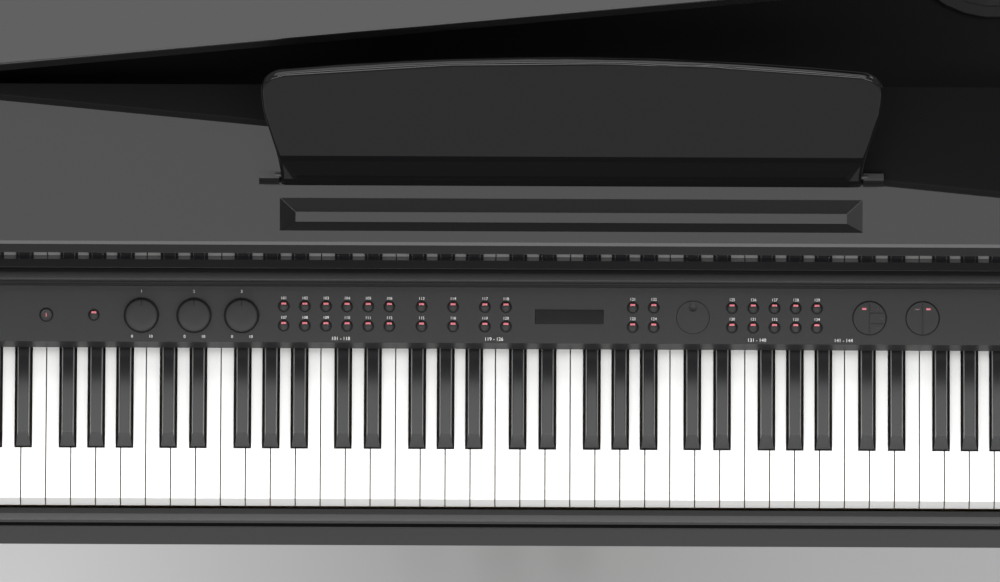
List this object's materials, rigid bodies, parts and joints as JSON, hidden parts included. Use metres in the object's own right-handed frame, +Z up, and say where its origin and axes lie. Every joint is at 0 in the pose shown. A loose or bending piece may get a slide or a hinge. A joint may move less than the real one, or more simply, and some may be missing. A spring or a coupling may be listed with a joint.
{
  "type": "digital baby grand piano",
  "caption": "Gloss black digital grand piano with a raised lid, leaning music desk, sloped control panel, sliding key cover, playable keys and a pedal lyre.",
  "frame": {"origin": "centre of the case's footprint, on the floor", "axes": "+X to the player's right, +Y from the keyboard to the tail, +Z up"},
  "size_m": [1.45, 1.15, 1.2981],
  "materials": {
    "case_rim": "high-gloss black lacquer",
    "left_cheek": "high-gloss black lacquer",
    "right_cheek": "high-gloss black lacquer",
    "left_key_block": "gloss black",
    "right_key_block": "gloss black",
    "keybed": "black stained board",
    "bottom_board": "black stained board",
    "keyslip": "satin black",
    "control_panel": "satin black with a fine grain",
    "name_rail": "high-gloss black lacquer",
    "top_panel": "high-gloss black lacquer",
    "inner_deck": "black stained board",
    "lid": "board in high-gloss black lacquer",
    "lid_hinge": "polished brass",
    "lid_prop": "black lacquer",
    "key_cover": "satin black board",
    "cover_rail": "gloss black",
    "music_desk": "board in high-gloss black lacquer",
    "desk_hinge_rod": "blackened steel",
    "volume_knob": "satin black",
    "bass_knob": "satin black",
    "treble_knob": "satin black",
    "data_wheel": "satin black",
    "power_button": "satin black",
    "demo_button": "satin black",
    "rhythm_buttons": "satin black caps with a red lamp",
    "tempo_buttons": "satin black caps with a red lamp",
    "layer_buttons": "satin black caps with a red lamp",
    "function_buttons": "satin black caps with a red lamp",
    "voice_buttons": "satin black caps with a red lamp",
    "record_pads": "satin black",
    "song_pads": "satin black",
    "display_module": "smoked window",
    "panel_board": "green circuit board",
    "key_frame": "bare wood",
    "left_leg": "black lacquer",
    "right_leg": "black lacquer",
    "rear_leg": "black lacquer",
    "lyre": "black lacquer",
    "soft_pedal": "polished brass",
    "sostenuto_pedal": "polished brass",
    "sustain_pedal": "polished brass",
    "left_speaker": "black paper cone and basket",
    "right_speaker": "black paper cone and basket",
    "main_board": "green circuit board",
    "power_supply": "bare finned case",
    "white_keys": "gloss white",
    "black_keys": "satin black",
    "key_c4": "gloss white",
    "key_cs4": "satin black",
    "key_d4": "gloss white",
    "key_ds4": "satin black",
    "key_e4": "gloss white",
    "key_f4": "gloss white",
    "key_fs4": "satin black",
    "key_g4": "gloss white",
    "key_gs4": "satin black",
    "key_a4": "gloss white",
    "key_as4": "satin black",
    "key_b4": "gloss white"
  },
  "bodies": {
    "case": {"case_rim": "case_rim", "left_cheek": "left_cheek", "right_cheek": "right_cheek", "left_key_block": "left_key_block", "right_key_block": "right_key_block", "keybed": "keybed", "bottom_board": "bottom_board", "keyslip": "keyslip", "control_panel": "control_panel", "name_rail": "name_rail", "top_panel": "top_panel", "inner_deck": "inner_deck", "lid_hinge": "lid_hinge", "desk_hinge_rod": "desk_hinge_rod", "display_module": "display_module", "panel_board": "panel_board", "key_frame": "key_frame", "left_leg": "left_leg", "right_leg": "right_leg", "rear_leg": "rear_leg", "lyre": "lyre", "left_speaker": "left_speaker", "right_speaker": "right_speaker", "main_board": "main_board", "power_supply": "power_supply"},
    "raised_lid": {"lid": "lid"},
    "prop": {"lid_prop": "lid_prop"},
    "cover": {"key_cover": "key_cover", "cover_rail": "cover_rail"},
    "desk": {"music_desk": "music_desk"},
    "volume": {"volume_knob": "volume_knob"},
    "bass": {"bass_knob": "bass_knob"},
    "treble": {"treble_knob": "treble_knob"},
    "wheel": {"data_wheel": "data_wheel"},
    "power_button_group": {"power_button": "power_button"},
    "demo_button_group": {"demo_button": "demo_button"},
    "rhythm_buttons_group": {"rhythm_buttons": "rhythm_buttons"},
    "tempo_buttons_group": {"tempo_buttons": "tempo_buttons"},
    "layer_buttons_group": {"layer_buttons": "layer_buttons"},
    "function_buttons_group": {"function_buttons": "function_buttons"},
    "voice_buttons_group": {"voice_buttons": "voice_buttons"},
    "record_pads_group": {"record_pads": "record_pads"},
    "song_pads_group": {"song_pads": "song_pads"},
    "key_c4_body": {"key_c4": "key_c4"},
    "key_cs4_body": {"key_cs4": "key_cs4"},
    "key_d4_body": {"key_d4": "key_d4"},
    "key_ds4_body": {"key_ds4": "key_ds4"},
    "key_e4_body": {"key_e4": "key_e4"},
    "key_f4_body": {"key_f4": "key_f4"},
    "key_fs4_body": {"key_fs4": "key_fs4"},
    "key_g4_body": {"key_g4": "key_g4"},
    "key_gs4_body": {"key_gs4": "key_gs4"},
    "key_a4_body": {"key_a4": "key_a4"},
    "key_as4_body": {"key_as4": "key_as4"},
    "key_b4_body": {"key_b4": "key_b4"},
    "white_comb": {"white_keys": "white_keys"},
    "black_comb": {"black_keys": "black_keys"},
    "soft_lever": {"soft_pedal": "soft_pedal"},
    "sostenuto_lever": {"sostenuto_pedal": "sostenuto_pedal"},
    "sustain_lever": {"sustain_pedal": "sustain_pedal"}
  },
  "joints": [
    {"name": "lid_hinge_turn", "type": "hinge", "parent": "case", "child": "raised_lid", "pos_m": [-0.7195, 0.115, 0.917], "axis": [0, -1, 0], "range_deg": [-15.1, 22]},
    {"name": "lid_prop_swing", "type": "hinge", "parent": "case", "child": "prop", "pos_m": [0.27, 0.165, 0.874], "axis": [0, 1, 0], "range_deg": [0, 46]},
    {"name": "key_cover_slide", "type": "slide", "parent": "case", "child": "cover", "axis": [0, -0.9903, -0.1392], "range_m": [0, 0.205]},
    {"name": "music_desk_lean", "type": "hinge", "parent": "case", "child": "desk", "pos_m": [0, -0.28176, 0.92861], "axis": [1, 0, 0], "range_deg": [-10, 0]},
    {"name": "volume_turn", "type": "hinge", "parent": "case", "child": "volume", "pos_m": [-0.4041, -0.36551, 0.77255], "axis": [0, -0.342, 0.9397], "range_deg": [-150, 150]},
    {"name": "bass_turn", "type": "hinge", "parent": "case", "child": "bass", "pos_m": [-0.3546, -0.36551, 0.77255], "axis": [0, -0.342, 0.9397], "range_deg": [-150, 150]},
    {"name": "treble_turn", "type": "hinge", "parent": "case", "child": "treble", "pos_m": [-0.3098, -0.36551, 0.77255], "axis": [0, -0.342, 0.9397], "range_deg": [-150, 150]},
    {"name": "data_wheel_turn", "type": "hinge", "parent": "case", "child": "wheel", "pos_m": [0.1153, -0.36551, 0.77255], "axis": [0, -0.342, 0.9397], "continuous": true},
    {"name": "power_button_press", "type": "slide", "parent": "case", "child": "power_button_group", "axis": [0, 0.342, -0.9397], "range_m": [0, 0.0008], "stiffness_N_per_m": 500, "springref_m": -0.003},
    {"name": "demo_button_press", "type": "slide", "parent": "case", "child": "demo_button_group", "axis": [0, 0.342, -0.9397], "range_m": [0, 0.0008], "stiffness_N_per_m": 500, "springref_m": -0.003},
    {"name": "rhythm_buttons_press", "type": "slide", "parent": "case", "child": "rhythm_buttons_group", "axis": [0, 0.342, -0.9397], "range_m": [0, 0.0008], "stiffness_N_per_m": 500, "springref_m": -0.003},
    {"name": "tempo_buttons_press", "type": "slide", "parent": "case", "child": "tempo_buttons_group", "axis": [0, 0.342, -0.9397], "range_m": [0, 0.0008], "stiffness_N_per_m": 500, "springref_m": -0.003},
    {"name": "layer_buttons_press", "type": "slide", "parent": "case", "child": "layer_buttons_group", "axis": [0, 0.342, -0.9397], "range_m": [0, 0.0008], "stiffness_N_per_m": 500, "springref_m": -0.003},
    {"name": "function_buttons_press", "type": "slide", "parent": "case", "child": "function_buttons_group", "axis": [0, 0.342, -0.9397], "range_m": [0, 0.0008], "stiffness_N_per_m": 500, "springref_m": -0.003},
    {"name": "voice_buttons_press", "type": "slide", "parent": "case", "child": "voice_buttons_group", "axis": [0, 0.342, -0.9397], "range_m": [0, 0.0008], "stiffness_N_per_m": 500, "springref_m": -0.003},
    {"name": "record_pads_press", "type": "slide", "parent": "case", "child": "record_pads_group", "axis": [0, 0.342, -0.9397], "range_m": [0, 0.0008], "stiffness_N_per_m": 500, "springref_m": -0.003},
    {"name": "song_pads_press", "type": "slide", "parent": "case", "child": "song_pads_group", "axis": [0, 0.342, -0.9397], "range_m": [0, 0.0008], "stiffness_N_per_m": 500, "springref_m": -0.003},
    {"name": "key_c4_dip", "type": "hinge", "parent": "case", "child": "key_c4_body", "pos_m": [-0.05875, -0.32, 0.7145], "axis": [1, 0, 0], "range_deg": [0, 2.66], "stiffness_Nm_per_rad": 0.8, "springref_deg": -18.33},
    {"name": "key_cs4_dip", "type": "hinge", "parent": "case", "child": "key_cs4_body", "pos_m": [-0.0494, -0.32, 0.7145], "axis": [1, 0, 0], "range_deg": [0, 2.66], "stiffness_Nm_per_rad": 0.5, "springref_deg": -18.33},
    {"name": "key_d4_dip", "type": "hinge", "parent": "case", "child": "key_d4_body", "pos_m": [-0.03525, -0.32, 0.7145], "axis": [1, 0, 0], "range_deg": [0, 2.66], "stiffness_Nm_per_rad": 0.8, "springref_deg": -18.33},
    {"name": "key_ds4_dip", "type": "hinge", "parent": "case", "child": "key_ds4_body", "pos_m": [-0.0214, -0.32, 0.7145], "axis": [1, 0, 0], "range_deg": [0, 2.66], "stiffness_Nm_per_rad": 0.5, "springref_deg": -18.33},
    {"name": "key_e4_dip", "type": "hinge", "parent": "case", "child": "key_e4_body", "pos_m": [-0.01175, -0.32, 0.7145], "axis": [1, 0, 0], "range_deg": [0, 2.66], "stiffness_Nm_per_rad": 0.8, "springref_deg": -18.33},
    {"name": "key_f4_dip", "type": "hinge", "parent": "case", "child": "key_f4_body", "pos_m": [0.01175, -0.32, 0.7145], "axis": [1, 0, 0], "range_deg": [0, 2.66], "stiffness_Nm_per_rad": 0.8, "springref_deg": -18.33},
    {"name": "key_fs4_dip", "type": "hinge", "parent": "case", "child": "key_fs4_body", "pos_m": [0.0204, -0.32, 0.7145], "axis": [1, 0, 0], "range_deg": [0, 2.66], "stiffness_Nm_per_rad": 0.5, "springref_deg": -18.33},
    {"name": "key_g4_dip", "type": "hinge", "parent": "case", "child": "key_g4_body", "pos_m": [0.03525, -0.32, 0.7145], "axis": [1, 0, 0], "range_deg": [0, 2.66], "stiffness_Nm_per_rad": 0.8, "springref_deg": -18.33},
    {"name": "key_gs4_dip", "type": "hinge", "parent": "case", "child": "key_gs4_body", "pos_m": [0.0472, -0.32, 0.7145], "axis": [1, 0, 0], "range_deg": [0, 2.66], "stiffness_Nm_per_rad": 0.5, "springref_deg": -18.33},
    {"name": "key_a4_dip", "type": "hinge", "parent": "case", "child": "key_a4_body", "pos_m": [0.05875, -0.32, 0.7145], "axis": [1, 0, 0], "range_deg": [0, 2.66], "stiffness_Nm_per_rad": 0.8, "springref_deg": -18.33},
    {"name": "key_as4_dip", "type": "hinge", "parent": "case", "child": "key_as4_body", "pos_m": [0.074, -0.32, 0.7145], "axis": [1, 0, 0], "range_deg": [0, 2.66], "stiffness_Nm_per_rad": 0.5, "springref_deg": -18.33},
    {"name": "key_b4_dip", "type": "hinge", "parent": "case", "child": "key_b4_body", "pos_m": [0.08225, -0.32, 0.7145], "axis": [1, 0, 0], "range_deg": [0, 2.66], "stiffness_Nm_per_rad": 0.8, "springref_deg": -18.33},
    {"name": "white_keys_dip", "type": "hinge", "parent": "case", "child": "white_comb", "pos_m": [0, -0.32, 0.7145], "axis": [1, 0, 0], "range_deg": [0, 2.66], "stiffness_Nm_per_rad": 36, "springref_deg": -18.33},
    {"name": "black_keys_dip", "type": "hinge", "parent": "case", "child": "black_comb", "pos_m": [0, -0.32, 0.7145], "axis": [1, 0, 0], "range_deg": [0, 2.66], "stiffness_Nm_per_rad": 15.5, "springref_deg": -18.33},
    {"name": "soft_pedal_dip", "type": "hinge", "parent": "case", "child": "soft_lever", "pos_m": [-0.07, -0.145, 0.055], "axis": [1, 0, 0], "range_deg": [0, 4.5], "stiffness_Nm_per_rad": 20, "springref_deg": -10.31},
    {"name": "sostenuto_pedal_dip", "type": "hinge", "parent": "case", "child": "sostenuto_lever", "pos_m": [0, -0.145, 0.055], "axis": [1, 0, 0], "range_deg": [0, 4.5], "stiffness_Nm_per_rad": 20, "springref_deg": -10.31},
    {"name": "sustain_pedal_dip", "type": "hinge", "parent": "case", "child": "sustain_lever", "pos_m": [0.07, -0.145, 0.055], "axis": [1, 0, 0], "range_deg": [0, 4.5], "stiffness_Nm_per_rad": 20, "springref_deg": -10.31}
  ]
}
